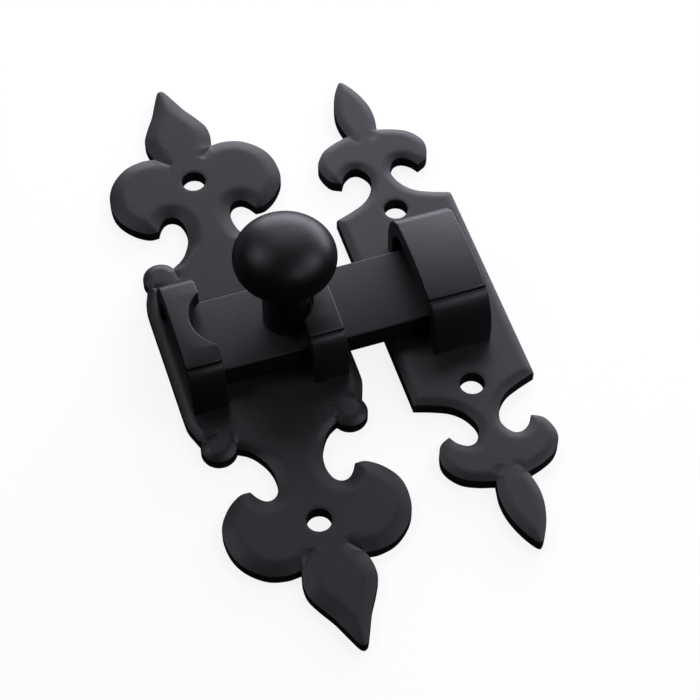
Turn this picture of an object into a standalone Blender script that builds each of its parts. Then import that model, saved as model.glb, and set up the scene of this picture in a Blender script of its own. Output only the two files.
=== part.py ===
"""Surface-mounted slide bolt with fleur-de-lis plates, in black powder-coated steel.

+X runs along the bolt towards its keeper, +Y along the plates, +Z away from the door.
The origin is the centre of the bolt plate, on its back face. The bolt is thrown at rest.
"""

import math

import bmesh
import bpy
from mathutils import Vector

MM = 0.001
CLEARANCE = 0.3  # between pieces that rest on each other
FASTENER_CLEARANCE = 0.2
CUT_OVERRUN = 1.0  # how far a cutter passes the face that it opens
STROKE_STEPS = 5  # segments between two outline points

PLATE_THICKNESS = 3.3
SCREW_HOLE_RADIUS = 2.55

# Bolt plate: one quarter of its outline, from the leaf's tip to the middle of the side.
# Each stroke is a smooth curve, and two strokes meet in a corner.
LEAF_TIP_Y = 75.0
BALL_CENTRE = (14.05, 22.7)
BALL_RADIUS = 3.8
BALL_FROM, BALL_TO = 152, -30  # degrees, from the waist's cusp round to the body's
PLATE_HALF_WIDTH = 19.1
BOLT_PLATE_LEAF = [(0.0, LEAF_TIP_Y), (0.9, 74.3), (2.3, 71.3), (3.8, 67.9), (5.75, 64.5)]
BOLT_PLATE_LEAF += [(7.2, 61.4), (7.4, 58.5), (6.8, 55.6)]
BOLT_PLATE_LOBE = [(6.8, 55.6), (9.8, 55.75), (13.5, 54.7), (16.9, 51.8), (18.8, 48.2), (19.3, 43.8)]
BOLT_PLATE_LOBE += [(18.5, 40.4), (16.2, 37.2), (13.4, 35.2), (11.1, 35.0)]
BOLT_PLATE_WAIST = [(11.1, 35.0), (10.0, 36.9), (8.6, 38.1), (7.0, 38.0), (5.75, 36.6), (5.2, 33.7)]
BOLT_PLATE_WAIST += [(5.8, 30.3), (7.5, 27.1), (9.2, 25.3)]
BOLT_PLATE_SHOULDER = [(17.6, 20.3), (18.2, 18.6), (18.85, 16.6), (PLATE_HALF_WIDTH, 13.5)]
BOLT_PLATE_SHOULDER += [(PLATE_HALF_WIDTH, 0.0)]
BOLT_PLATE_HOLE_Y = 46.0

# Keeper plate: the same, with its own centre at KEEPER_X.
KEEPER_X = 40.3
KEEPER_HALF_WIDTH = 13.35
KEEPER_BODY_Y = 25.7
KEEPER_LEAF = [(0.0, 64.5), (0.8, 63.8), (2.15, 61.5), (3.35, 58.6), (4.15, 55.3), (4.25, 52.0)]
KEEPER_LEAF += [(3.6, 48.2)]
KEEPER_LOBE = [(3.6, 48.2), (6.9, 47.2), (10.0, 45.6), (12.1, 42.9), (12.6, 40.2), (11.4, 36.8)]
KEEPER_LOBE += [(9.0, 35.3)]
KEEPER_WAIST = [(9.0, 35.3), (7.7, 37.3), (5.7, 38.5), (3.8, 37.8), (2.5, 34.9), (3.6, 31.4)]
KEEPER_WAIST += [(5.9, 28.8), (9.1, 27.2), (KEEPER_HALF_WIDTH, KEEPER_BODY_Y)]
KEEPER_SIDE = [(KEEPER_HALF_WIDTH, KEEPER_BODY_Y), (KEEPER_HALF_WIDTH, 0.0)]
KEEPER_HOLE_Y = 24.5

# Guide straps, bent over the bar, and the keeper's larger loop.
GUIDE_WIDTH = 7.6
GUIDE_X = 13.05
GUIDE_LEG_Y = 14.4
GUIDE_BEND_RADIUS = 8.8  # outside radius where a leg bends over into the top
GUIDE_CREASE_Z = 14.2  # where the bend ends at the raised pad
KEEPER_LOOP_X = 41.5
KEEPER_LOOP_WIDTH = 12.6
KEEPER_LEG_Y = 15.4
KEEPER_BEND_RADIUS = 9.6
KEEPER_CREASE_Z = 16.0
STRAP_THICKNESS = 3.2
PAD_HALF = 10.9  # the raised pad on top of a strap
PAD_DRAFT = 0.15  # how far the pad's step leans in
PAD_STEP = 0.8
PAD_CROWN = 1.0
CEILING_DROP = 2.3  # from the crease down to the flat underside
BEND_STEPS = 7
PAD_STEPS = 12
NOTCH_RADIUS = 8.0  # scallop that lets the knob's stem into a guide
NOTCH_X = 5.0
NOTCH_TOP_Z = 25.0

# Sliding bar, with the knob's stem screwed to it.
BAR_TAIL_X = -15.5
BAR_TIP_X = 45.0
BAR_HALF_WIDTH = 9.3
BAR_BOTTOM_Z = PLATE_THICKNESS + CLEARANCE
BAR_TOP_Z = 9.0
BAR_CHAMFER = 0.5
BAR_SOFTENED_ANGLE = 50  # degrees: edges sharper than this are rounded
TIP_CORNER = 1.6
KNOB_X = 7.65
STEM_BASE_RADIUS = 5.1
STEM_TOP_RADIUS = 5.9
STEM_HOLLOW = 0.35  # how far the stem's side curves in
STEM_STEPS = 6
KNOB_RADIUS = 10.7
KNOB_EQUATOR_Z = 29.3
KNOB_DOME = 6.4
KNOB_BELLY = 4.1
KNOB_FACE_RADIUS = 7.4  # flat underside of the knob
DOME_STEPS = 12
BELLY_STEPS = 6
SPIGOT_RADIUS = 3.0
SPIGOT_TOP_Z = 30.4

# Knob screw, M4 countersunk, and the countersunk rivets through the plates.
SCREW_RADIUS = 2.0
SCREW_HEAD_RADIUS = 4.0
SCREW_HEAD_HEIGHT = 2.2
SCREW_TOP_Z = 20.0
HEX_RADIUS = 1.4
HEX_DEPTH = 1.3
HEX_STEPS = 6
RIVET_RADIUS = 0.95
RIVET_HEAD_RADIUS = 1.9
RIVET_HEAD_HEIGHT = 1.0
RIVET_TOP_Z = 8.5
RIVET_BACK_Z = 0.2

ROUND_STEPS = 40
HOLE_STEPS = 24
SMALL_STEPS = 16
BALL_STEPS = 18
CORNER_STEPS = 4

COATINGS = {
    "plate_coating": (0.030, 0.031, 0.034),
    "bar_coating": (0.022, 0.023, 0.026),
    "knob_coating": (0.016, 0.017, 0.019),
}
COATING_ROUGHNESS = 0.45
ZINC = (0.55, 0.55, 0.53)
ZINC_ROUGHNESS = 0.4


def clear_scene():
    for obj in list(bpy.data.objects):
        bpy.data.objects.remove(obj)


def new_collection(name):
    collection = bpy.data.collections.new(name)
    bpy.context.scene.collection.children.link(collection)
    return collection


def material(name, colour, roughness, metallic):
    made = bpy.data.materials.new(name)
    made.use_nodes = True
    shader = made.node_tree.nodes["Principled BSDF"]
    shader.inputs["Base Color"].default_value = (*colour, 1.0)
    shader.inputs["Roughness"].default_value = roughness
    shader.inputs["Metallic"].default_value = metallic
    return made


def arc(centre, radius, start, end, steps):
    """Points on a circle's arc, from one angle to another, in degrees."""
    points = []
    for step in range(steps + 1):
        angle = math.radians(start + (end - start) * step / steps)
        points.append((centre[0] + radius * math.cos(angle), centre[1] + radius * math.sin(angle)))
    return points


def stroke(points):
    """A smooth curve (Catmull-Rom) through the points."""
    knots = [Vector(point) for point in points]
    knots = [2 * knots[0] - knots[1], *knots, 2 * knots[-1] - knots[-2]]
    curve = []
    for before, start, end, after in zip(knots, knots[1:], knots[2:], knots[3:]):
        for step in range(STROKE_STEPS):
            t = step / STROKE_STEPS
            bend = (2 * before - 5 * start + 4 * end - after) * t**2
            bend += (3 * start - before - 3 * end + after) * t**3
            point = start + 0.5 * ((end - before) * t + bend)
            curve.append((point.x, point.y))
    return curve


def full_outline(quarter):
    """The quarter mirrored to all four, as one loop that runs clockwise from the tip."""
    lower = [(x, -y) for x, y in reversed(quarter) if y > 0]
    right = quarter + lower
    left = [(-x, y) for x, y in reversed(right) if x > 0]
    return right + left


def bolt_plate_outline():
    quarter = stroke(BOLT_PLATE_LEAF) + stroke(BOLT_PLATE_LOBE) + stroke(BOLT_PLATE_WAIST)
    quarter += arc(BALL_CENTRE, BALL_RADIUS, BALL_FROM, BALL_TO, BALL_STEPS)
    return full_outline(quarter + stroke(BOLT_PLATE_SHOULDER))


def keeper_plate_outline():
    quarter = stroke(KEEPER_LEAF) + stroke(KEEPER_LOBE) + stroke(KEEPER_WAIST) + stroke(KEEPER_SIDE)
    return full_outline(quarter)


def mesh_object(name, mesh, collection, surface):
    obj = bpy.data.objects.new(name, mesh)
    obj.data.materials.clear()
    obj.data.materials.append(surface)
    collection.objects.link(obj)
    return obj


def extruded(name, outline, thickness, collection, surface):
    """A flat outline in the XY plane, thickened equally to both sides of it."""
    curve = bpy.data.curves.new(name, "CURVE")
    curve.dimensions = "2D"
    curve.fill_mode = "BOTH"
    curve.extrude = thickness * MM / 2
    spline = curve.splines.new("POLY")
    spline.points.add(len(outline) - 1)
    for point, (x, y) in zip(spline.points, outline):
        point.co = (x * MM, y * MM, 0, 1)
    spline.use_cyclic_u = True
    flat = bpy.data.objects.new(name + "_curve", curve)
    bpy.context.scene.collection.objects.link(flat)
    graph = bpy.context.evaluated_depsgraph_get()
    mesh = bpy.data.meshes.new_from_object(flat.evaluated_get(graph))
    bpy.data.objects.remove(flat)
    body = bmesh.new()
    body.from_mesh(mesh)
    bmesh.ops.remove_doubles(body, verts=body.verts, dist=0.001 * MM)
    bmesh.ops.recalc_face_normals(body, faces=body.faces)
    body.to_mesh(mesh)
    body.free()
    return mesh_object(name, mesh, collection, surface)


def turned(name, profile, place, steps, collection, surface):
    """A profile of (radius, z) points, top to bottom, turned about a vertical axis at place."""
    mesh = bpy.data.meshes.new(name)
    shape = bmesh.new()
    points = [shape.verts.new((radius * MM, 0, z * MM)) for radius, z in profile]
    for first, second in zip(points, points[1:]):
        shape.edges.new((first, second))
    shape.to_mesh(mesh)
    shape.free()
    obj = mesh_object(name, mesh, collection, surface)
    obj.location = (place[0] * MM, place[1] * MM, 0)
    screw = obj.modifiers.new("Turn", "SCREW")
    screw.steps = steps
    screw.render_steps = steps
    screw.use_merge_vertices = True
    screw.merge_threshold = 0.00001
    screw.use_smooth_shade = True
    return obj


def cut(obj, cutters):
    for cutter in cutters:
        boolean = obj.modifiers.new("Cut " + cutter.name, "BOOLEAN")
        boolean.operation = "DIFFERENCE"
        boolean.object = cutter


class Cutters:
    """Makes the turned cutters, in their own hidden collection."""

    def __init__(self):
        self.collection = new_collection("cutters")
        self.collection.hide_render = True
        self.surface = bpy.data.materials.new("cutter")

    def turned(self, name, profile, place, steps=SMALL_STEPS):
        cutter = turned(name, profile, place, steps, self.collection, self.surface)
        cutter.hide_render = True
        cutter.display_type = "WIRE"
        return cutter

    def hole(self, name, place, radius, low, high, steps=SMALL_STEPS):
        return self.turned(name, [(0, high), (radius, high), (radius, low), (0, low)], place, steps)

    def countersunk(self, name, place, radius, head, low, high):
        """A hole that opens downwards into a cone, for a flush head of a (radius, height)."""
        wide = head[0] + 2 * FASTENER_CLEARANCE
        narrow = radius + FASTENER_CLEARANCE
        top = low + head[1] + 2 * FASTENER_CLEARANCE
        profile = [(0, high), (narrow, high), (narrow, top), (wide, low), (wide, low - CUT_OVERRUN)]
        return self.turned(name, profile + [(0, low - CUT_OVERRUN)], place)


def rivet_places(centre_x, leg_y):
    """Where the two rivets stand that hold a strap, upper first."""
    across = leg_y - STRAP_THICKNESS / 2
    return {"upper": (centre_x, across), "lower": (centre_x, -across)}


class Finish:
    """Where finished pieces go, and the cutters that they share."""

    def __init__(self, collection, cutters):
        self.collection = collection
        self.cutters = cutters

    def plate(self, name, outline, centre_x, hole_y, rivets, surface):
        """A flat plate with two screw holes, and a countersunk hole from behind for each rivet."""
        plate = extruded(name, outline, PLATE_THICKNESS, self.collection, surface)
        plate.location = (centre_x * MM, 0, PLATE_THICKNESS * MM / 2)
        holes = []
        top = PLATE_THICKNESS + CUT_OVERRUN
        for side, label in ((1, "upper"), (-1, "lower")):
            place = (centre_x, side * hole_y)
            hole_name = f"{name}_{label}_hole"
            holes.append(
                self.cutters.hole(hole_name, place, SCREW_HOLE_RADIUS, -CUT_OVERRUN, top, HOLE_STEPS)
            )
        for label, place in rivets.items():
            hole_name = f"{name}_{label}_rivet_hole"
            head = (RIVET_HEAD_RADIUS, RIVET_HEAD_HEIGHT)
            holes.append(self.cutters.countersunk(hole_name, place, RIVET_RADIUS, head, 0, top))
        cut(plate, holes)
        return plate

    def strap(self, name, centre_x, width, section, rivets, surface):
        """A strap over the bar, its section drawn across the bar and extruded along it."""
        strap = extruded(name, section, width, self.collection, surface)
        # The section's own x and y become the object's y and z.
        strap.rotation_euler = (math.pi / 2, 0, math.pi / 2)
        strap.location = (centre_x * MM, 0, 0)
        holes = []
        top = RIVET_TOP_Z + CLEARANCE
        for label, place in rivets.items():
            hole_name = f"{name}_{label}_rivet_hole"
            holes.append(self.cutters.hole(hole_name, place, RIVET_RADIUS + FASTENER_CLEARANCE, 0, top))
        cut(strap, holes)
        return strap

    def rivets(self, name, places, surface):
        slope = RIVET_BACK_Z + RIVET_HEAD_HEIGHT
        profile = [(0, RIVET_TOP_Z), (RIVET_RADIUS, RIVET_TOP_Z), (RIVET_RADIUS, slope)]
        profile += [(RIVET_HEAD_RADIUS, RIVET_BACK_Z), (0, RIVET_BACK_Z)]
        for label, place in places.items():
            turned(f"{name}_rivet_{label}", profile, place, SMALL_STEPS, self.collection, surface)


def strap_section(leg_y, bend_radius, crease_z):
    """A strap's closed section across the bar, as (y, z): legs, round bends and a raised, crowned pad."""
    base = PLATE_THICKNESS + CLEARANCE
    centre_y = leg_y - bend_radius
    rise = math.sqrt(bend_radius**2 - (PAD_HALF - centre_y) ** 2)
    centre = (centre_y, crease_z - rise)
    crease_angle = math.degrees(math.atan2(rise, PAD_HALF - centre_y))
    outer = [(leg_y, base)] + arc(centre, bend_radius, 0, crease_angle, BEND_STEPS)
    pad_half = PAD_HALF - PAD_DRAFT
    pad = []
    for step in range(PAD_STEPS // 2 + 1):
        y = pad_half * (1 - 2 * step / PAD_STEPS)
        pad.append((y, crease_z + PAD_STEP + PAD_CROWN * (1 - (y / pad_half) ** 2)))
    inner_radius = bend_radius - STRAP_THICKNESS
    ceiling_z = crease_z - CEILING_DROP
    ceiling_angle = math.degrees(math.asin((ceiling_z - centre[1]) / inner_radius))
    inner = [(0, ceiling_z)] + arc(centre, inner_radius, ceiling_angle, 0, BEND_STEPS)
    inner.append((leg_y - STRAP_THICKNESS, base))
    half = outer + pad
    over = half + [(-y, z) for y, z in reversed(half) if y > 0]
    under = [(-y, z) for y, z in reversed(inner) if y > 0] + inner
    return over + under


def scallop(strap, centre_x, cutters):
    """The round notch that the knob's stem stops in."""
    place = (math.copysign(NOTCH_X, centre_x), 0)
    notch_name = strap.name + "_notch"
    cut(strap, [cutters.hole(notch_name, place, NOTCH_RADIUS, BAR_TOP_Z, NOTCH_TOP_Z, ROUND_STEPS)])


def bar_outline():
    tip = arc((BAR_TIP_X - TIP_CORNER, BAR_HALF_WIDTH - TIP_CORNER), TIP_CORNER, 90, 0, CORNER_STEPS)
    upper = [(BAR_TAIL_X, BAR_HALF_WIDTH)] + tip
    return upper + [(x, -y) for x, y in reversed(upper)]


def make_bar(collection, surface, cutters):
    height = BAR_TOP_Z - BAR_BOTTOM_Z
    bar = extruded("bolt_bar", bar_outline(), height, collection, surface)
    bar.location = (0, 0, (BAR_BOTTOM_Z + height / 2) * MM)
    soften = bar.modifiers.new("Soft edges", "BEVEL")
    soften.width = BAR_CHAMFER * MM
    soften.segments = 2
    soften.angle_limit = math.radians(BAR_SOFTENED_ANGLE)
    top = BAR_TOP_Z + CUT_OVERRUN
    head = (SCREW_HEAD_RADIUS, SCREW_HEAD_HEIGHT)
    cut(bar, [cutters.countersunk("knob_screw_hole", (KNOB_X, 0), SCREW_RADIUS, head, BAR_BOTTOM_Z, top)])
    return bar


def knob_underside_z():
    return KNOB_EQUATOR_Z - KNOB_BELLY


def make_knob(collection, surface):
    dome = []
    for step in range(DOME_STEPS + 1):
        angle = math.radians(90 - 90 * step / DOME_STEPS)
        dome.append((KNOB_RADIUS * math.cos(angle), KNOB_EQUATOR_Z + KNOB_DOME * math.sin(angle)))
    belly = []
    for step in range(1, BELLY_STEPS + 1):
        angle = math.radians(90 * step / BELLY_STEPS)
        belly_radius = KNOB_FACE_RADIUS + (KNOB_RADIUS - KNOB_FACE_RADIUS) * math.cos(angle)
        belly.append((belly_radius, KNOB_EQUATOR_Z - KNOB_BELLY * math.sin(angle)))
    bore = SPIGOT_RADIUS + FASTENER_CLEARANCE
    ceiling = SPIGOT_TOP_Z + CLEARANCE
    profile = dome + belly + [(bore, knob_underside_z()), (bore, ceiling), (0, ceiling)]
    return turned("knob", profile, (KNOB_X, 0), ROUND_STEPS, collection, surface)


def make_stem(collection, surface):
    base = BAR_TOP_Z + CLEARANCE
    top = knob_underside_z() - CLEARANCE
    profile = [(0, SPIGOT_TOP_Z), (SPIGOT_RADIUS, SPIGOT_TOP_Z), (SPIGOT_RADIUS, top)]
    for step in range(STEM_STEPS + 1):
        along = step / STEM_STEPS
        ends = STEM_TOP_RADIUS + (STEM_BASE_RADIUS - STEM_TOP_RADIUS) * along
        hollow = STEM_HOLLOW * math.sin(math.pi * along)
        profile.append((ends - hollow, top + (base - top) * along))
    bore = SCREW_RADIUS + FASTENER_CLEARANCE
    ceiling = SCREW_TOP_Z + CLEARANCE
    profile += [(bore, base), (bore, ceiling), (0, ceiling)]
    return turned("knob_stem", profile, (KNOB_X, 0), ROUND_STEPS, collection, surface)


def make_knob_screw(collection, surface, cutters):
    back = BAR_BOTTOM_Z + FASTENER_CLEARANCE
    slope = back + SCREW_HEAD_HEIGHT
    profile = [(0, SCREW_TOP_Z), (SCREW_RADIUS, SCREW_TOP_Z), (SCREW_RADIUS, slope)]
    profile += [(SCREW_HEAD_RADIUS, back), (0, back)]
    screw = turned("knob_screw", profile, (KNOB_X, 0), HOLE_STEPS, collection, surface)
    low = back - CUT_OVERRUN
    cut(screw, [cutters.hole("hex_socket", (KNOB_X, 0), HEX_RADIUS, low, back + HEX_DEPTH, HEX_STEPS)])
    return screw


def build():
    clear_scene()
    bolt = new_collection("fleur_de_lis_slide_bolt")
    cutters = Cutters()
    plate_coat, bar_coat, knob_coat = (
        material(name, colour, COATING_ROUGHNESS, 0.0) for name, colour in COATINGS.items()
    )
    zinc = material("zinc_plate", ZINC, ZINC_ROUGHNESS, 1.0)

    finish = Finish(bolt, cutters)
    guide_section = strap_section(GUIDE_LEG_Y, GUIDE_BEND_RADIUS, GUIDE_CREASE_Z)
    guide_rivets = {}
    for name, centre_x in (("rear_guide", -GUIDE_X), ("front_guide", GUIDE_X)):
        rivets = rivet_places(centre_x, GUIDE_LEG_Y)
        guide = finish.strap(name, centre_x, GUIDE_WIDTH, guide_section, rivets, bar_coat)
        scallop(guide, centre_x, cutters)
        finish.rivets(name, rivets, zinc)
        guide_rivets.update({f"{name}_{label}": place for label, place in rivets.items()})
    finish.plate("bolt_plate", bolt_plate_outline(), 0, BOLT_PLATE_HOLE_Y, guide_rivets, plate_coat)

    loop_section = strap_section(KEEPER_LEG_Y, KEEPER_BEND_RADIUS, KEEPER_CREASE_Z)
    keeper_rivets = rivet_places(KEEPER_LOOP_X, KEEPER_LEG_Y)
    finish.plate(
        "keeper_plate", keeper_plate_outline(), KEEPER_X, KEEPER_HOLE_Y, keeper_rivets, plate_coat
    )
    finish.strap("keeper_loop", KEEPER_LOOP_X, KEEPER_LOOP_WIDTH, loop_section, keeper_rivets, bar_coat)
    finish.rivets("keeper", keeper_rivets, zinc)

    # The bar and what is fixed to it slide together along X, from an empty on their axis.
    slide = bpy.data.objects.new("bolt_slide_axis", None)
    bolt.objects.link(slide)
    sliding = [
        make_bar(bolt, bar_coat, cutters),
        make_knob(bolt, knob_coat),
        make_stem(bolt, bar_coat),
        make_knob_screw(bolt, zinc, cutters),
    ]
    for piece in sliding:
        piece.parent = slide


build()
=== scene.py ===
"""Looks of the fleur-de-lis slide bolt: fine meshes, powder-coat finishes, light and camera.

The object's lengths are in millimetres until a mesh is made. The frame, the lights and the floor are
in metres.
"""

import math

import bmesh
import bpy
import numpy as np
from mathutils import Matrix, Vector
from mathutils.geometry import delaunay_2d_cdt


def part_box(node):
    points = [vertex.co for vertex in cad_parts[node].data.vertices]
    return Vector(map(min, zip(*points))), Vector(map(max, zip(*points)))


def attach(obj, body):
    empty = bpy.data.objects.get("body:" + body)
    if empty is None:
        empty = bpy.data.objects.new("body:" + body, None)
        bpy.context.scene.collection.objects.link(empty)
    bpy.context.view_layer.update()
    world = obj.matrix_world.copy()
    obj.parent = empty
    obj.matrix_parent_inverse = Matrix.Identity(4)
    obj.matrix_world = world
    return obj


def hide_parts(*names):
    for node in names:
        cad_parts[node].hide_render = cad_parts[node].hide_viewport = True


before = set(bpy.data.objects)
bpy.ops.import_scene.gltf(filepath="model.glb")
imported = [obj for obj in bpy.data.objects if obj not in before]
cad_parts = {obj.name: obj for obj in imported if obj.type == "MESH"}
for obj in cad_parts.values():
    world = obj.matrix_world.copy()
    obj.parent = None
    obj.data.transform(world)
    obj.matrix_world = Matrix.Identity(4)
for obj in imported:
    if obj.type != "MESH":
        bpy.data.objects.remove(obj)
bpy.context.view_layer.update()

MM = 0.001


def box_mm(node):
    low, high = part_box(node)
    return low / MM, high / MM


def centre_of(node):
    low, high = box_mm(node)
    return ((low.x + high.x) / 2, (low.y + high.y) / 2)


PLATE_TOP = box_mm("bolt_plate")[1].z

# ---------------------------------------------------------------- outlines, as in the CAD

STROKE_STEPS = 10
OUTLINE_SPACING = 0.8
BOLT_PLATE_LEAF = [(0, 75), (0.9, 74.3), (2.3, 71.3), (3.8, 67.9), (5.75, 64.5)]
BOLT_PLATE_LEAF += [(7.2, 61.4), (7.4, 58.5), (6.8, 55.6)]
BOLT_PLATE_LOBE = [(6.8, 55.6), (9.8, 55.75), (13.5, 54.7), (16.9, 51.8), (18.8, 48.2), (19.3, 43.8)]
BOLT_PLATE_LOBE += [(18.5, 40.4), (16.2, 37.2), (13.4, 35.2), (11.1, 35)]
BOLT_PLATE_WAIST = [(11.1, 35), (10, 36.9), (8.6, 38.1), (7, 38), (5.75, 36.6), (5.2, 33.7)]
BOLT_PLATE_WAIST += [(5.8, 30.3), (7.5, 27.1), (9.2, 25.3)]
BOLT_PLATE_SHOULDER = [(17.6, 20.3), (18.2, 18.6), (18.85, 16.6), (19.1, 13.5), (19.1, 0)]
BALL_CENTRE = (14.05, 22.7)
BALL_RADIUS = 3.8
BALL_FROM, BALL_TO = 152, -30
BALL_STEPS = 30
BOLT_PLATE_HOLE_Y = 46

KEEPER_LEAF = [(0, 64.5), (0.8, 63.8), (2.15, 61.5), (3.35, 58.6), (4.15, 55.3), (4.25, 52), (3.6, 48.2)]
KEEPER_LOBE = [(3.6, 48.2), (6.9, 47.2), (10, 45.6), (12.1, 42.9), (12.6, 40.2), (11.4, 36.8), (9, 35.3)]
KEEPER_WAIST = [(9, 35.3), (7.7, 37.3), (5.7, 38.5), (3.8, 37.8), (2.5, 34.9), (3.6, 31.4), (5.9, 28.8)]
KEEPER_WAIST += [(9.1, 27.2), (13.35, 25.7)]
KEEPER_SIDE = [(13.35, 25.7), (13.35, 0)]
KEEPER_HOLE_Y = 24.5

# Grooves from the outline's cusps inwards, where one leaf or lobe laps over the next.
# Each is (where it starts, where it ends, depth, width to each side).
BOLT_PLATE_CREASES = [
    ((6.8, 55.6), (3.4, 51.9), 0.7, 1.8),
    ((17.4, 20.6), (13.2, 19.3), 0.45, 1.3),
    ((10.8, 24.4), (10.5, 20.4), 0.4, 1.3),
]
KEEPER_CREASES = [((3.6, 48.2), (1.6, 45.2), 0.25, 1.8)]

SCREW_HOLE_RADIUS = 2.55
RIVET_RECESS = [(2.1, 0.0), (1.05, 1.3), (1.05, 2.9)]
KNOB_SCREW_RECESS = [(4.3, 0.0), (2.1, 2.5), (2.1, 4.6)]

# ---------------------------------------------------------------- relief

# Drop at the edge, width round the leaves, width along the body's sides, half-length of those sides.
BOLT_PLATE_BEVEL = (0.85, 3.3, 1.9, 27.5)
KEEPER_BEVEL = (0.5, 2.0, 1.8, 24)
BEVEL_POWER = 1.3
BEVEL_BLEND = 3  # length over which one width turns into the other
CREASE_FADE = 0.5  # power by which a groove's depth fades along it
CREASE_POWER = 1.5  # power by which it fades to each side
RIM = 0.3  # height of the steep strip between the upright side and the pillowed top
FOOT = 0.25  # height of the narrow chamfer round the back
BACK_INSET = 0.1

# Where the mesh's points lie: rings inside the outline, rows along the creases, and a grid between.
# A ring's point is kept where it is at least this share of the ring's depth away from the whole outline.
RING_DEPTHS = (0.08, 0.2, 0.42, 0.8, 1.3, 1.9, 2.5, 3.1, 3.7)
RING_KEPT = 0.93
CREASE_ROWS = (0, -0.22, 0.22, -0.5, 0.5, -0.85, 0.85, -1.3, 1.3)
CREASE_STEPS = 14
GRID = 0.75
GRID_ROW = 0.87
GRID_MARGIN = 0.45
HOLE_MARGIN = 0.75
CLOSEST = 0.12

# A screw hole's mouth from the top down, as (how much wider, depth below the top), and then its back,
# as (how much wider, height above the back).
HOLE_MOUTH = ((0.4, 0), (0.12, 0.08), (0, 0.35))
HOLE_BACK = ((0, 0.25), (0.2, 0))
HOLE_STEPS = 48
RIVET_STEPS = 32


def arc(centre, radius, start, end, steps):
    """Points on a circle's arc, from one angle to another, in degrees."""
    points = []
    for step in range(steps + 1):
        angle = math.radians(start + (end - start) * step / steps)
        points.append((centre[0] + radius * math.cos(angle), centre[1] + radius * math.sin(angle)))
    return points


def stroke(points):
    """A smooth curve (Catmull-Rom) through the points, without its last point."""
    knots = [Vector(point) for point in points]
    knots = [2 * knots[0] - knots[1], *knots, 2 * knots[-1] - knots[-2]]
    curve = []
    for before, start, end, after in zip(knots, knots[1:], knots[2:], knots[3:]):
        for step in range(STROKE_STEPS):
            t = step / STROKE_STEPS
            curved = (2 * before - 5 * start + 4 * end - after) * t**2
            curved += (3 * start - before - 3 * end + after) * t**3
            point = start + 0.5 * ((end - before) * t + curved)
            curve.append((point.x, point.y))
    return curve


def mirrored(quarter):
    """The quarter mirrored to all four, as one loop that runs clockwise from the tip."""
    lower = [(x, -y) for x, y in reversed(quarter) if y > 1e-6]
    right = quarter + lower
    left = [(-x, y) for x, y in reversed(right) if x > 1e-6]
    return right + left


def even(loop):
    """The closed loop with each long segment split into equal steps."""
    points = []
    for (x1, y1), (x2, y2) in zip(loop, loop[1:] + loop[:1]):
        steps = max(1, math.ceil(math.dist((x1, y1), (x2, y2)) / OUTLINE_SPACING))
        for step in range(steps):
            t = step / steps
            points.append((x1 + (x2 - x1) * t, y1 + (y2 - y1) * t))
    return points


def bolt_plate_outline():
    quarter = stroke(BOLT_PLATE_LEAF) + stroke(BOLT_PLATE_LOBE) + stroke(BOLT_PLATE_WAIST)
    quarter += arc(BALL_CENTRE, BALL_RADIUS, BALL_FROM, BALL_TO, BALL_STEPS)
    quarter += stroke(BOLT_PLATE_SHOULDER) + BOLT_PLATE_SHOULDER[-1:]
    return even(mirrored(quarter))


def keeper_plate_outline():
    quarter = stroke(KEEPER_LEAF) + stroke(KEEPER_LOBE) + stroke(KEEPER_WAIST) + KEEPER_SIDE
    return even(mirrored(quarter))


def all_quarters(creases):
    """The creases of one quarter, and their mirror images in the other three."""
    return [
        ((sx * a[0], sy * a[1]), (sx * b[0], sy * b[1]), depth, width)
        for a, b, depth, width in creases
        for sx in (1, -1)
        for sy in (1, -1)
    ]


def inward_normals(loop):
    """Unit normals into the shape at each point of a clockwise or anticlockwise loop."""
    points = np.array(loop)
    ahead = np.roll(points, -1, axis=0) - points
    behind = points - np.roll(points, 1, axis=0)
    ahead /= np.linalg.norm(ahead, axis=1)[:, None]
    behind /= np.linalg.norm(behind, axis=1)[:, None]
    along = ahead + behind
    along /= np.maximum(np.linalg.norm(along, axis=1), 1e-9)[:, None]
    area = np.sum(points[:, 0] * np.roll(points[:, 1], -1) - np.roll(points[:, 0], -1) * points[:, 1])
    turn = 1.0 if area > 0 else -1.0
    return turn * np.stack([-along[:, 1], along[:, 0]], axis=1)


def distance_to(points, loop):
    """Distance from each point to a closed loop."""
    points = np.asarray(points, float)
    starts = np.asarray(loop, float)
    ends = np.roll(starts, -1, axis=0)
    best = np.full(len(points), np.inf)
    for start, end in zip(starts, ends):
        along = end - start
        t = np.clip(((points - start) @ along) / max(along @ along, 1e-12), 0, 1)
        gap = np.linalg.norm(points - (start + t[:, None] * along), axis=1)
        best = np.minimum(best, gap)
    return best


def inside(points, loop):
    """Even-odd test of each point against a closed loop."""
    points = np.asarray(points, float)
    x, y = points[:, 0], points[:, 1]
    result = np.zeros(len(points), bool)
    for (x1, y1), (x2, y2) in zip(loop, loop[1:] + loop[:1]):
        if y1 == y2:
            continue
        crosses = (y1 > y) != (y2 > y)
        result ^= crosses & (x < (x2 - x1) * (y - y1) / (y2 - y1) + x1)
    return result


def circle(centre, radius, steps):
    return arc(centre, radius, 0, 360, steps)[:-1]


def thinned(points):
    """The points without those that share a small cell with an earlier one."""
    kept = []
    cells = set()
    for point in points:
        cell = (round(point[0] / CLOSEST), round(point[1] / CLOSEST))
        if cell not in cells:
            cells.add(cell)
            kept.append(point)
    return np.array(kept)


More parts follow.
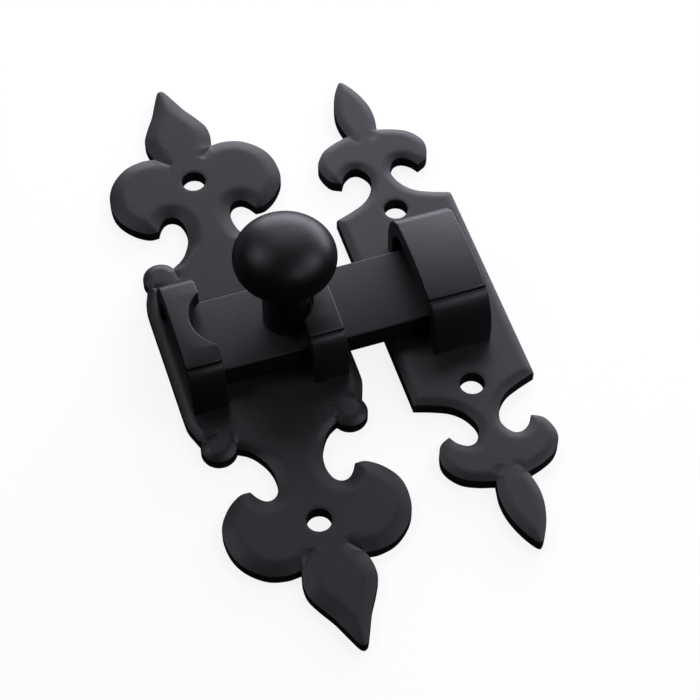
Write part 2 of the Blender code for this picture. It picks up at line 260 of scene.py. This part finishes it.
def triangles(loops, extra):
    """Triangles that fill the first loop and leave out the others.

    Their corners are the loops' points and the extra ones. Returns the corners, the faces, and for each
    corner the number of the point that it came from.
    """
    points = [point for loop in loops for point in loop] + list(extra)
    edges = []
    first = 0
    for loop in loops:
        count = len(loop)
        edges += [(first + i, first + (i + 1) % count) for i in range(count)]
        first += count
    out = delaunay_2d_cdt([Vector(p) for p in points], edges, [], 0, 1e-7)
    places = [tuple(v) for v in out[0]]
    centres = np.array([np.mean([places[i] for i in face], axis=0) for face in out[2]])
    keep = inside(centres, loops[0])
    for loop in loops[1:]:
        keep &= ~inside(centres, loop)
    faces = [face for face, kept in zip(out[2], keep) if kept]
    source = [ids[0] for ids in out[3]]
    return places, faces, source


class Solid:
    """Collects rings and faces, and makes one closed mesh of them."""

    def __init__(self):
        self.points = []
        self.faces = []

    def add(self, places):
        """Adds points and returns their numbers."""
        first = len(self.points)
        self.points += [tuple(map(float, place)) for place in places]
        return list(range(first, len(self.points)))

    def bridge(self, lower, upper, closed=True):
        """Quads between two rings of the same length."""
        count = len(lower)
        for i in range(count if closed else count - 1):
            j = (i + 1) % count
            self.faces.append((lower[i], lower[j], upper[j], upper[i]))

    def fill(self, loops, height=None, extra=()):
        """Faces over loops of points that are already there, and over new points at their heights."""
        flat = [[self.points[i][:2] for i in loop] for loop in loops]
        places, faces, source = triangles(flat, extra)
        known = [i for loop in loops for i in loop]
        fresh = self.add([(x, y, 0) for x, y in extra])
        heights = height(np.array(extra)) if len(extra) else []
        for index, z in zip(fresh, heights):
            self.points[index] = (*self.points[index][:2], float(z))
        numbers = [(known + fresh)[number] for number in source]
        self.faces += [tuple(numbers[i] for i in face) for face in faces]

    def recess(self, place, profile, floor, steps):
        """A round blind hole in a flat back, as (radius, height above the back). Returns its mouth."""
        rings = []
        for radius, z in profile:
            rings.append(self.add([(*p, floor + z) for p in circle(place, radius, steps)]))
        for lower, upper in zip(rings, rings[1:]):
            self.bridge(lower, upper)
        self.faces.append(tuple(rings[-1]))
        return rings[0]

    def object(self, name, sharp=35):
        """The mesh as an object, smooth except where it turns by more than the sharp angle, in degrees."""
        mesh = bpy.data.meshes.new(name)
        mesh.from_pydata([(x * MM, y * MM, z * MM) for x, y, z in self.points], [], self.faces)
        shape = bmesh.new()
        shape.from_mesh(mesh)
        bmesh.ops.remove_doubles(shape, verts=shape.verts, dist=0.001 * MM)
        bmesh.ops.delete(shape, geom=[v for v in shape.verts if not v.link_faces], context="VERTS")
        bmesh.ops.recalc_face_normals(shape, faces=shape.faces)
        open_edges = sum(1 for e in shape.edges if len(e.link_faces) != 2)
        if open_edges:
            print(f"{name}: {open_edges} edges don't join two faces")
        shape.to_mesh(mesh)
        shape.free()
        mesh.shade_smooth()
        mesh.set_sharp_from_angle(angle=math.radians(sharp))
        obj = bpy.data.objects.new(name, mesh)
        bpy.context.scene.collection.objects.link(obj)
        return obj


def plate_height(outline, creases, bevel):
    """A function that gives the height of the pressed top at each point."""
    drop, wide, narrow, side_y = bevel

    def height(points):
        near_side = np.clip((side_y - np.abs(points[:, 1])) / BEVEL_BLEND + 0.5, 0, 1)
        bevel_width = wide + (narrow - wide) * near_side
        t = np.clip(distance_to(points, outline) / bevel_width, 0, 1)
        top = PLATE_TOP - drop * (1 - t) ** BEVEL_POWER
        for tip, end, depth, width in creases:
            start = np.array(tip)
            along = np.array(end) - start
            s = np.clip(((points - start) @ along) / (along @ along), 0, 1)
            gap = np.linalg.norm(points - (start + s[:, None] * along), axis=1)
            across = np.clip(1 - gap / width, 0, 1) ** CREASE_POWER
            top = np.minimum(top, PLATE_TOP - depth * (1 - s) ** CREASE_FADE * across)
        return top

    return height


def plate_points(outline, normals, creases, holes):
    """The points inside the outline that carry the relief."""
    edge = np.array(outline)
    groups = []
    for depth in RING_DEPTHS:
        ring = edge + normals * depth
        real = distance_to(ring, outline) > depth * RING_KEPT
        groups.append(ring[real & inside(ring, outline)])
    xs = np.arange(edge[:, 0].min(), edge[:, 0].max(), GRID)
    ys = np.arange(edge[:, 1].min(), edge[:, 1].max(), GRID * GRID_ROW)
    grid = np.array([(x + GRID / 2 * (row % 2), y) for row, y in enumerate(ys) for x in xs])
    grid = grid[inside(grid, outline)]
    groups.append(grid[distance_to(grid, outline) > RING_DEPTHS[-1] + GRID_MARGIN])
    for tip, end, _, _ in creases:
        along = np.array(end) - np.array(tip)
        across = np.array((-along[1], along[0])) / np.linalg.norm(along)
        steps = range(1, CREASE_STEPS + 1)
        for offset in CREASE_ROWS:
            line = np.array([tip + along * step / CREASE_STEPS + across * offset for step in steps])
            line = line[inside(line, outline)]
            groups.append(line[distance_to(line, outline) > CLOSEST])
    points = np.concatenate(groups)
    for hole in holes:
        points = points[np.linalg.norm(points - hole, axis=1) > SCREW_HOLE_RADIUS + HOLE_MARGIN]
    return thinned(points)


def plate(name, centre_x, outline, hole_y, creases, rivets, bevel):
    """A pressed plate: pillowed top with grooves, upright sides, flat back with recesses for the rivets."""
    solid = Solid()
    normals = inward_normals(outline)
    edge = np.array(outline)
    height = plate_height(outline, creases, bevel)
    holes = [(0, hole_y), (0, -hole_y)]
    extra = plate_points(outline, normals, creases, holes)

    rim_top = solid.add([(x, y, z) for (x, y), z in zip(outline, height(edge) - RIM)])
    foot = solid.add([(x, y, FOOT) for x, y in outline])
    back = solid.add([(x, y, 0.0) for x, y in edge + normals * BACK_INSET])
    solid.bridge(foot, rim_top)
    solid.bridge(back, foot)
    top_loops, back_loops = [rim_top], [back]
    wall = [(wider, PLATE_TOP - depth) for wider, depth in HOLE_MOUTH] + list(HOLE_BACK)
    for hole in holes:
        rings = []
        for wider, z in wall:
            places = circle(hole, SCREW_HOLE_RADIUS + wider, HOLE_STEPS)
            rings.append(solid.add([(*place, z) for place in places]))
        for upper, lower in zip(rings, rings[1:]):
            solid.bridge(lower, upper)
        top_loops.append(rings[0])
        back_loops.append(rings[-1])
    for rivet in rivets:
        back_loops.append(solid.recess(rivet, RIVET_RECESS, 0, RIVET_STEPS))
    solid.fill(top_loops, height, [tuple(point) for point in extra])
    solid.fill(back_loops)
    obj = solid.object(name)
    obj.data.transform(Matrix.Translation((centre_x * MM, 0, 0)))
    return obj


def finished(obj, body, surface, node):
    """Gives a visual piece its finish, and hands it to the frame in place of its CAD node."""
    obj.data.materials.append(surface)
    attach(obj, body)
    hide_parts(node)


# ---------------------------------------------------------------- straps

STRAP_THICKNESS = 3.2
PAD_HALF = 10.9
PAD_DRAFT = 0.15
PAD_STEP = 0.8
PAD_CROWN = 1.0
CEILING_DROP = 2.3
STRAP_EDGE = 0.38
GUIDE_SECTION = (14.4, 8.8, 14.2)  # leg's y, bend's radius, crease's z
KEEPER_SECTION = (15.4, 9.6, 16.0)
NOTCH_X = 5.0
NOTCH_RADIUS = 8.0
STRAP_FOOT = PLATE_TOP - 0.25  # sunk a little into the plate, so that no gap shows
BEND_RISE = 0.56  # the bend's handles, as shares of its height and its width
BEND_REACH = 0.36
LEDGE_DROP = 0.12
LEG_STEPS = 6
BEND_STEPS = 18
PAD_STEPS = 24
NORMAL_SPREAD = 3  # points to each side that a smoothed normal takes in

ROUNDING = (0, 22.5, 45, 67.5, 90)  # degrees round an edge


def bend(low, high, steps):
    """The outside of a bend (a Bezier curve), from the upright leg to an almost level ledge."""
    reach, rise = high[0] - low[0], high[1] - low[1]
    upright = (low[0], low[1] + BEND_RISE * rise)
    level = (high[0] - BEND_REACH * reach, high[1] - LEDGE_DROP)
    handles = [low, upright, level, high]
    points = []
    for step in range(steps + 1):
        t = step / steps
        weights = ((1 - t) ** 3, 3 * t * (1 - t) ** 2, 3 * t * t * (1 - t), t**3)
        y = sum(weight * handle[0] for weight, handle in zip(weights, handles))
        z = sum(weight * handle[1] for weight, handle in zip(weights, handles))
        points.append((y, z))
    return points


def strap_section(leg_y, bend_radius, crease_z):
    """The strap's outer and inner lines across the bar, with as many points each, as (y, z)."""
    centre_y = leg_y - bend_radius
    rise = math.sqrt(bend_radius**2 - (PAD_HALF - centre_y) ** 2)
    centre_z = crease_z - rise
    leg = [STRAP_FOOT + (centre_z - STRAP_FOOT) * i / LEG_STEPS for i in range(LEG_STEPS)]
    outer = [(leg_y, z) for z in leg]
    outer += bend((leg_y, centre_z), (PAD_HALF, crease_z), BEND_STEPS)
    pad_half = PAD_HALF - PAD_DRAFT
    edge_z = crease_z + PAD_STEP
    outer += [(PAD_HALF - 0.1, crease_z + 0.04), (pad_half, crease_z + 0.2), (pad_half, edge_z - 0.3)]
    outer += [(pad_half - 0.06, edge_z - 0.14), (pad_half - 0.22, edge_z - 0.02)]
    for step in range(PAD_STEPS + 1):
        y = (pad_half - 0.5) * (1 - step / PAD_STEPS)
        outer.append((y, edge_z + PAD_CROWN * (1 - (y / pad_half) ** 2)))
    inner_radius = bend_radius - STRAP_THICKNESS
    ceiling_z = crease_z - CEILING_DROP
    ceiling_angle = math.degrees(math.asin((ceiling_z - centre_z) / inner_radius))
    inner = [(leg_y - STRAP_THICKNESS, z) for z in leg]
    inner += arc((centre_y, centre_z), inner_radius, 0, ceiling_angle, BEND_STEPS)
    rest = len(outer) - len(inner)
    start = inner[-1][0]
    inner += [(start * (1 - (i + 1) / rest), ceiling_z) for i in range(rest)]
    return outer, inner


def whole_section(section):
    """Both lines of a strap's section from one foot to the other."""
    outer, inner = strap_section(*section)
    outer += [(-y, z) for y, z in reversed(outer[:-1])]
    inner += [(-y, z) for y, z in reversed(inner[:-1])]
    return outer, inner


def row_normals(row, side):
    """Smoothed unit normals along an open line: to its left for side 1, to its right for side -1."""
    along = np.gradient(np.array(row), axis=0)
    along /= np.linalg.norm(along, axis=1)[:, None]
    padded = np.pad(along, ((NORMAL_SPREAD, NORMAL_SPREAD), (0, 0)), mode="edge")
    along = sum(padded[i : i + len(row)] for i in range(2 * NORMAL_SPREAD + 1))
    along /= np.linalg.norm(along, axis=1)[:, None]
    return side * np.stack([-along[:, 1], along[:, 0]], axis=1)


def strap(name, low_x, high_x, section, notch=None):
    """A bent strap with rounded edges. A notch is (centre x, radius), cut into the side nearer to it."""
    outer, inner = whole_section(section)
    ring = np.array(outer + inner[::-1])
    normals = np.concatenate([row_normals(outer, 1), row_normals(inner, -1)[::-1]])
    count = len(outer)

    def edge_x(side, y):
        plain = low_x if side < 0 else high_x
        if notch is None or (notch[0] - (low_x + high_x) / 2) * side < 0:
            return plain
        centre, radius = notch
        reach = math.sqrt(max(radius**2 - y**2, 0))
        return min(plain, centre - reach) if side > 0 else max(plain, centre + reach)

    solid = Solid()
    edges = []
    for side in (-1, 1):
        part = []
        for degrees in ROUNDING:
            angle = math.radians(degrees)
            inset = STRAP_EDGE * (1 - math.sin(angle))
            along = STRAP_EDGE * (1 - math.cos(angle))
            places = []
            for (y, z), (ny, nz) in zip(ring, normals):
                x = edge_x(side, y) - side * along
                places.append((x, y + ny * inset, z + nz * inset))
            part.append(solid.add(places))
        edges.append(part)
    left, right = edges
    chain = left + right[::-1]
    for first, second in zip(chain, chain[1:]):
        solid.bridge(first, second)
    for end in (chain[0], chain[-1]):
        outer_row = end[:count]
        inner_row = end[count:][::-1]
        solid.bridge(outer_row, inner_row, closed=False)
    return solid.object(name, sharp=40)


# ---------------------------------------------------------------- bar, knob and stem

BAR_EDGE = 0.45
BAR_TIP_CORNER = 1.6
BAR_TAIL_CORNER = 0.5
TIP_STEPS = 8
TAIL_STEPS = 4
RECESS_STEPS = 48

KNOB_EQUATOR_Z = 29.3
KNOB_FACE_RADIUS = 7.4
KNOB_BORE_RADIUS = 3.2
KNOB_BORE_DEPTH = 2
KNOB_STEPS = 112
DOME_STEPS = 32
BELLY_STEPS = 19
BELLY_END = 86  # degrees below the equator where the belly meets the flat face

STEM_TOP_RADIUS = 5.9
STEM_FOOT_RADIUS = 5.1
STEM_CHAMFER = (0.15, 0.18)  # width and height, at the top
STEM_HOLLOW = 0.35  # how far the middle is drawn in
STEM_INSET = 0.02
STEM_STEPS = 96
STEM_ROWS = 19


def slab(name, outline, low, high, edge, recess_at, recess_profile):
    """A flat bar with rounded edges all round, and a recess in its underside."""
    solid = Solid()
    ring = np.array(outline)
    normals = inward_normals(outline)
    rings = []
    for side in (-1, 1):
        for degrees in ROUNDING[::side]:
            angle = math.radians(degrees)
            inset = edge * (1 - math.cos(angle))
            drop = edge * (1 - math.sin(angle))
            z = low + drop if side < 0 else high - drop
            rings.append(solid.add([(*p, z) for p in ring + normals * inset]))
    for first, second in zip(rings, rings[1:]):
        solid.bridge(first, second)
    mouth = solid.recess(recess_at, recess_profile, low, RECESS_STEPS)
    solid.fill([rings[-1]])
    solid.fill([rings[0], mouth])
    return solid.object(name)


def lathe(name, profile, place, steps):
    """A profile of (radius, z) points, from axis to axis, turned about a vertical axis."""
    solid = Solid()
    rings = []
    for radius, z in profile:
        if radius < 1e-6:
            rings.append(solid.add([(*place, z)]))
        else:
            rings.append(solid.add([(*p, z) for p in circle(place, radius, steps)]))
    for first, second in zip(rings, rings[1:]):
        if len(first) == 1 or len(second) == 1:
            centre, rim = (first, second) if len(first) == 1 else (second, first)
            for i in range(steps):
                solid.faces.append((centre[0], rim[i], rim[(i + 1) % steps]))
        else:
            solid.bridge(first, second)
    return solid.object(name, sharp=30)


def bar():
    """The bolt's bar: a round-cornered tip, a squarer tail, and the screw's recess underneath."""
    low, high = box_mm("bolt_bar")
    half = high.y
    tail_at = (low.x + BAR_TAIL_CORNER, half - BAR_TAIL_CORNER)
    tip_at = (high.x - BAR_TIP_CORNER, half - BAR_TIP_CORNER)
    upper = arc(tail_at, BAR_TAIL_CORNER, 180, 90, TAIL_STEPS)[:-1]
    upper += [(low.x + BAR_TAIL_CORNER, half)] + arc(tip_at, BAR_TIP_CORNER, 90, 0, TIP_STEPS)
    outline = upper + [(x, -y) for x, y in reversed(upper)]
    screw = (centre_of("knob_screw")[0], 0)
    return slab("bolt_bar_fine", outline, low.z, high.z, BAR_EDGE, screw, KNOB_SCREW_RECESS)


def knob():
    """A flattened ball: an elliptical dome above the equator and a fuller belly below it."""
    low, high = box_mm("knob")
    radius = (high.x - low.x) / 2
    dome = high.z - KNOB_EQUATOR_Z
    belly = KNOB_EQUATOR_Z - low.z
    face = KNOB_FACE_RADIUS
    profile = []
    for step in range(DOME_STEPS + 1):
        angle = math.radians(90 - 90 * step / DOME_STEPS)
        profile.append((radius * math.cos(angle), KNOB_EQUATOR_Z + dome * math.sin(angle)))
    for step in range(1, BELLY_STEPS + 1):
        angle = math.radians(BELLY_END * step / BELLY_STEPS)
        across = face + (radius - face) * math.cos(angle)
        profile.append((across, KNOB_EQUATOR_Z - belly * math.sin(angle)))
    bore_z = low.z + KNOB_BORE_DEPTH
    profile += [(face - 0.2, low.z), (KNOB_BORE_RADIUS, low.z), (KNOB_BORE_RADIUS, bore_z), (0, bore_z)]
    return lathe("knob_fine", profile, centre_of("knob"), KNOB_STEPS)


def stem():
    """The stem between bar and knob: a taper that narrows downwards and is drawn in at the middle."""
    top = box_mm("knob")[0].z - STEM_INSET
    foot = box_mm("bolt_bar")[1].z + STEM_INSET
    chamfer_width, chamfer_height = STEM_CHAMFER
    shoulder = top - chamfer_height
    profile = [(0, top), (STEM_TOP_RADIUS - chamfer_width, top), (STEM_TOP_RADIUS, shoulder)]
    for step in range(1, STEM_ROWS + 1):
        along = step / STEM_ROWS
        straight = STEM_TOP_RADIUS + (STEM_FOOT_RADIUS - STEM_TOP_RADIUS) * along
        hollow = STEM_HOLLOW * math.sin(math.pi * along)
        profile.append((straight - hollow, shoulder + (foot - shoulder) * along))
    profile.append((0, foot))
    return lathe("knob_stem_fine", profile, centre_of("knob_stem"), STEM_STEPS)


# ---------------------------------------------------------------- materials

# Features per metre, and bump heights in metres.
CLOUD_SCALE = 90
PEEL_SCALE = 900
GRAIN_SCALE = 2600
ZINC_CLOUD_SCALE = 500
ZINC_GRAIN_SCALE = 3000
PEEL_DEPTH = 0.00025
GRAIN_DEPTH = 0.00008
ZINC_DEPTH = 0.00005
DUST_COLOUR = (0.12, 0.12, 0.125)
ZINC_COLOURS = ((0.42, 0.42, 0.40), (0.60, 0.60, 0.58))

# Each piece's colour, roughness, specular level and orange peel. The pieces' differences in colour and
# specular level are painted light and shade: the keeper, front guide and loop are lighter and glossier
# than the plate, painted brighter light on the right; the rear guide and the bar (also on the stem) are
# darker, painted shade on the left.
COATS_LIT_AND_SHADED = {
    "plate": ((0.0130, 0.0133, 0.0148), 0.45, 0.58, 0.10),
    "keeper": ((0.0150, 0.0153, 0.0168), 0.45, 0.76, 0.10),
    "rear_guide": ((0.0110, 0.0113, 0.0125), 0.43, 0.56, 0.10),
    "front_guide": ((0.0150, 0.0153, 0.0168), 0.44, 0.80, 0.10),
    "loop": ((0.0150, 0.0153, 0.0168), 0.44, 0.82, 0.10),
    "bar": ((0.0100, 0.0103, 0.0114), 0.45, 0.52, 0.10),
    "knob": ((0.0060, 0.0063, 0.0070), 0.40, 0.52, 0.06),
}


def node(tree, kind, **inputs):
    """A new shader node with its inputs set: an underscore in a name stands for a space."""
    made = tree.nodes.new(kind)
    for key, value in inputs.items():
        made.inputs[key.replace("_", " ")].default_value = value
    return made


def noise(tree, place, scale, detail):
    made = node(tree, "ShaderNodeTexNoise", Scale=scale, Detail=detail, Roughness=0.55)
    tree.links.new(place, made.inputs["Vector"])
    return made.outputs["Fac"]


def remap(tree, value, from_low, from_high, to_low, to_high):
    """A value moved from one range to another, and held within it."""
    made = node(tree, "ShaderNodeMapRange")
    tree.links.new(value, made.inputs["Value"])
    numbers = (("From Min", from_low), ("From Max", from_high), ("To Min", to_low), ("To Max", to_high))
    for key, number in numbers:
        made.inputs[key].default_value = number
    return made.outputs["Result"]


def mixed(tree, factor, first, second):
    """A mix of two colours, each a tuple or a node's output."""
    made = tree.nodes.new("ShaderNodeMix")
    made.data_type = "RGBA"
    for socket, value in ((made.inputs[6], first), (made.inputs[7], second)):
        if isinstance(value, tuple):
            socket.default_value = (*value, 1.0)
        else:
            tree.links.new(value, socket)
    tree.links.new(factor, made.inputs[0])
    return made.outputs[2]


def powder_coat(name, colour, roughness, gloss, peel):
    """Satin black powder coat: faint orange peel, cloudy gloss, paler worn edges and a few dust specks."""
    surface = bpy.data.materials.new(name)
    surface.use_nodes = True
    tree = surface.node_tree
    shader = tree.nodes["Principled BSDF"]
    shader.inputs["IOR"].default_value = 1.5
    shader.inputs["Specular IOR Level"].default_value = gloss
    place = tree.nodes.new("ShaderNodeTexCoord").outputs["Object"]

    cloud = noise(tree, place, CLOUD_SCALE, 4)
    grain = noise(tree, place, GRAIN_SCALE, 2)
    darker = tuple(c * 0.86 for c in colour)
    lighter = tuple(c * 1.16 for c in colour)
    body = mixed(tree, remap(tree, cloud, 0.3, 0.7, 0, 1), darker, lighter)
    pointed = tree.nodes.new("ShaderNodeNewGeometry").outputs["Pointiness"]
    worn = tuple(c * 2.2 + 0.004 for c in colour)
    body = mixed(tree, remap(tree, pointed, 0.515, 0.60, 0, 0.55), body, worn)
    specks = remap(tree, noise(tree, place, PEEL_SCALE, 0), 0.85, 0.89, 0, 0.12)
    body = mixed(tree, specks, body, DUST_COLOUR)
    tree.links.new(body, shader.inputs["Base Color"])

    sheen = node(tree, "ShaderNodeMath")
    sheen.operation = "ADD"
    cloudy = remap(tree, cloud, 0.3, 0.7, roughness - 0.03, roughness + 0.04)
    tree.links.new(cloudy, sheen.inputs[0])
    tree.links.new(remap(tree, grain, 0.3, 0.7, -0.03, 0.03), sheen.inputs[1])
    tree.links.new(sheen.outputs[0], shader.inputs["Roughness"])

    orange_peel = node(tree, "ShaderNodeBump", Strength=peel, Distance=PEEL_DEPTH)
    tree.links.new(noise(tree, place, PEEL_SCALE, 2), orange_peel.inputs["Height"])
    fine = node(tree, "ShaderNodeBump", Strength=peel * 0.8, Distance=GRAIN_DEPTH)
    tree.links.new(grain, fine.inputs["Height"])
    tree.links.new(orange_peel.outputs["Normal"], fine.inputs["Normal"])
    tree.links.new(fine.outputs["Normal"], shader.inputs["Normal"])
    return surface


def zinc_plate():
    """Bright zinc on the rivets and the screw, with dull patches."""
    surface = bpy.data.materials.new("zinc_plate")
    surface.use_nodes = True
    tree = surface.node_tree
    shader = tree.nodes["Principled BSDF"]
    shader.inputs["Metallic"].default_value = 1.0
    place = tree.nodes.new("ShaderNodeTexCoord").outputs["Object"]
    cloud = noise(tree, place, ZINC_CLOUD_SCALE, 3)
    factor = remap(tree, cloud, 0.35, 0.65, 0, 1)
    tree.links.new(mixed(tree, factor, *ZINC_COLOURS), shader.inputs["Base Color"])
    tree.links.new(remap(tree, cloud, 0.35, 0.65, 0.28, 0.46), shader.inputs["Roughness"])
    bump = node(tree, "ShaderNodeBump", Strength=0.2, Distance=ZINC_DEPTH)
    tree.links.new(noise(tree, place, ZINC_GRAIN_SCALE, 2), bump.inputs["Height"])
    tree.links.new(bump.outputs["Normal"], shader.inputs["Normal"])
    return surface


# ---------------------------------------------------------------- build

# Lit and shaded copies of one black powder coat: their differences in colour and specular level are painted
# light and shade.
lit_and_shaded_coats = {key: powder_coat(f"{key}_powder_coat", *coat) for key, coat in COATS_LIT_AND_SHADED.items()}
zinc = zinc_plate()

ENDS = ("upper", "lower")
KEEPER_X = centre_of("keeper_plate")[0]
guide_rivets = [centre_of(f"{side}_guide_rivet_{end}") for side in ("rear", "front") for end in ENDS]
keeper_rivets = [centre_of(f"keeper_rivet_{end}") for end in ENDS]
keeper_rivets = [(x - KEEPER_X, y) for x, y in keeper_rivets]

bolt_creases = all_quarters(BOLT_PLATE_CREASES)
bolt_shape = (bolt_plate_outline(), BOLT_PLATE_HOLE_Y, bolt_creases, guide_rivets, BOLT_PLATE_BEVEL)
bolt_plate = plate("bolt_plate_fine", 0, *bolt_shape)
finished(bolt_plate, "bolt_plate_body", lit_and_shaded_coats["plate"], "bolt_plate")

keeper_creases = all_quarters(KEEPER_CREASES)
keeper_shape = (keeper_plate_outline(), KEEPER_HOLE_Y, keeper_creases, keeper_rivets, KEEPER_BEVEL)
keeper_plate = plate("keeper_plate_fine", KEEPER_X, *keeper_shape)
finished(keeper_plate, "keeper", lit_and_shaded_coats["keeper"], "keeper_plate")

for guide, sign in (("rear_guide", -1), ("front_guide", 1)):
    low, high = box_mm(guide)
    piece = strap(f"{guide}_fine", low.x, high.x, GUIDE_SECTION, (sign * NOTCH_X, NOTCH_RADIUS))
    finished(piece, "bolt_plate_body", lit_and_shaded_coats[guide], guide)
low, high = box_mm("keeper_loop")
keeper_loop = strap("keeper_loop_fine", low.x, high.x, KEEPER_SECTION)
finished(keeper_loop, "keeper", lit_and_shaded_coats["loop"], "keeper_loop")

finished(bar(), "bolt", lit_and_shaded_coats["bar"], "bolt_bar")
finished(knob(), "bolt", lit_and_shaded_coats["knob"], "knob")
finished(stem(), "bolt", lit_and_shaded_coats["bar"], "knob_stem")

for name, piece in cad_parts.items():
    if "rivet" in name or name == "knob_screw":
        for slot in piece.material_slots:
            slot.material = zinc

# ---------------------------------------------------------------- camera, floor and light

# The azimuth runs from -Y towards +X. Angles in degrees, lengths in millimetres.
CAMERA_AZIMUTH = -18.47
CAMERA_ELEVATION = 54.80
CAMERA_ROLL = 0.31
CAMERA_DISTANCE = 449.0
CAMERA_TARGET = (19.5, -6.4, 0.0)
FOCAL_LENGTH = 108.72
SENSOR_WIDTH = 36.0
CLIP_START, CLIP_END = 0.01, 20.0  # metres

# Softboxes as (name, azimuth, elevation, size in metres, watts): long ones behind, small ones for glints.
STUDIO = [
    ("key_low", 68, 9, (0.9, 0.3), 4.3),
    ("key_middle", 72, 30, (0.8, 0.35), 0.95),
    ("key_high", 72, 52, (0.5, 0.3), 0.70),
    ("back_right", 30, 15, (0.4, 0.3), 2.0),
    ("glint_right", -16, 47, (0.28, 0.32), 1.05),
    ("glint_front", -60, 56, (0.25, 0.25), 0.5),
    ("glint_left", 143, 52, (0.28, 0.32), 0.9),
]
LIGHT_AIM = Vector((0.02, 0.0, 0.01))
LIGHT_DISTANCE = 0.9
LIGHT_COLOUR = (0.98, 0.95, 1.08)

FLOOR_HALF_SIZE = 3.0
FLOOR_Z = -0.0002
FLOOR_FADE = (0.08, 0.30)  # where it turns from dark to pale, behind the bolt
FLOOR_DARK = (0.06, 0.06, 0.06)  # what lights the bolt from in front
FLOOR_PALE = (0.7, 0.7, 0.7)  # what lights it from behind
FLOOR_SEEN = (0.3, 0.3, 0.3, 1)  # what the camera sees, with the glow
FLOOR_GLOW = 0.86
WORLD_FILL = 0.01
WHITE = (1, 1, 1, 1)


def make_camera():
    azimuth, elevation = math.radians(CAMERA_AZIMUTH), math.radians(CAMERA_ELEVATION)
    roll = math.radians(CAMERA_ROLL)
    level = math.cos(elevation)
    back = Vector((math.sin(azimuth) * level, -math.cos(azimuth) * level, math.sin(elevation)))
    across = Vector((0, 0, 1)).cross(back).normalized()
    upward = back.cross(across)
    right = across * math.cos(roll) + upward * math.sin(roll)
    up = upward * math.cos(roll) - across * math.sin(roll)
    data = bpy.data.cameras.new("camera")
    data.lens = FOCAL_LENGTH
    data.sensor_width = SENSOR_WIDTH
    data.clip_start = CLIP_START
    data.clip_end = CLIP_END
    camera = bpy.data.objects.new("camera", data)
    place = (Vector(CAMERA_TARGET) + back * CAMERA_DISTANCE) * MM
    camera.matrix_world = Matrix.Translation(place) @ Matrix((right, up, back)).transposed().to_4x4()
    bpy.context.scene.collection.objects.link(camera)
    bpy.context.scene.camera = camera


def area_light(name, azimuth, elevation, size, power):
    """A softbox aimed at the bolt. The azimuth runs from +X towards +Y, in degrees like the elevation."""
    data = bpy.data.lights.new(name, "AREA")
    data.shape = "RECTANGLE"
    data.size, data.size_y = size
    data.energy = power
    data.color = LIGHT_COLOUR
    light = bpy.data.objects.new(name, data)
    turn, rise = math.radians(azimuth), math.radians(elevation)
    towards = Vector((math.cos(turn) * math.cos(rise), math.sin(turn) * math.cos(rise), math.sin(rise)))
    light.location = LIGHT_AIM + towards * LIGHT_DISTANCE
    light.rotation_mode = "QUATERNION"
    light.rotation_quaternion = towards.to_track_quat("Z", "Y")
    bpy.context.scene.collection.objects.link(light)


def make_floor():
    """A pale floor for the camera, which gives the bolt's front little light and its back more."""
    mesh = bpy.data.meshes.new("floor")
    shape = bmesh.new()
    bmesh.ops.create_grid(shape, x_segments=1, y_segments=1, size=FLOOR_HALF_SIZE)
    shape.to_mesh(mesh)
    shape.free()
    floor = bpy.data.objects.new("floor", mesh)
    floor.location.z = FLOOR_Z
    bpy.context.scene.collection.objects.link(floor)
    surface = bpy.data.materials.new("pale_floor")
    surface.use_nodes = True
    tree = surface.node_tree
    tree.nodes.clear()
    output = tree.nodes.new("ShaderNodeOutputMaterial")
    plain = tree.nodes.new("ShaderNodeBsdfDiffuse")
    place = tree.nodes.new("ShaderNodeSeparateXYZ")
    tree.links.new(tree.nodes.new("ShaderNodeTexCoord").outputs["Object"], place.inputs[0])
    behind = remap(tree, place.outputs["Y"], *FLOOR_FADE, 0, 1)
    tree.links.new(mixed(tree, behind, FLOOR_DARK, FLOOR_PALE), plain.inputs["Color"])
    soft = node(tree, "ShaderNodeBsdfDiffuse", Color=FLOOR_SEEN)
    lit = node(tree, "ShaderNodeEmission", Color=WHITE, Strength=FLOOR_GLOW)
    seen = tree.nodes.new("ShaderNodeAddShader")
    tree.links.new(soft.outputs[0], seen.inputs[0])
    tree.links.new(lit.outputs[0], seen.inputs[1])
    choose = tree.nodes.new("ShaderNodeMixShader")
    tree.links.new(tree.nodes.new("ShaderNodeLightPath").outputs["Is Camera Ray"], choose.inputs[0])
    tree.links.new(plain.outputs[0], choose.inputs[1])
    tree.links.new(seen.outputs[0], choose.inputs[2])
    tree.links.new(choose.outputs[0], output.inputs["Surface"])
    mesh.materials.append(surface)


def make_world():
    """White behind the object for the camera, almost black for the light on it."""
    world = bpy.data.worlds.new("studio")
    world.use_nodes = True
    tree = world.node_tree
    background = tree.nodes["Background"]
    background.inputs["Color"].default_value = WHITE
    seen = tree.nodes.new("ShaderNodeLightPath").outputs["Is Camera Ray"]
    tree.links.new(remap(tree, seen, 0, 1, WORLD_FILL, 1.0), background.inputs["Strength"])
    bpy.context.scene.world = world


make_camera()
make_floor()
make_world()
for name, azimuth, elevation, size, power in STUDIO:
    area_light(name, azimuth, elevation, size, power)
bpy.context.scene.view_settings.view_transform = "Standard"
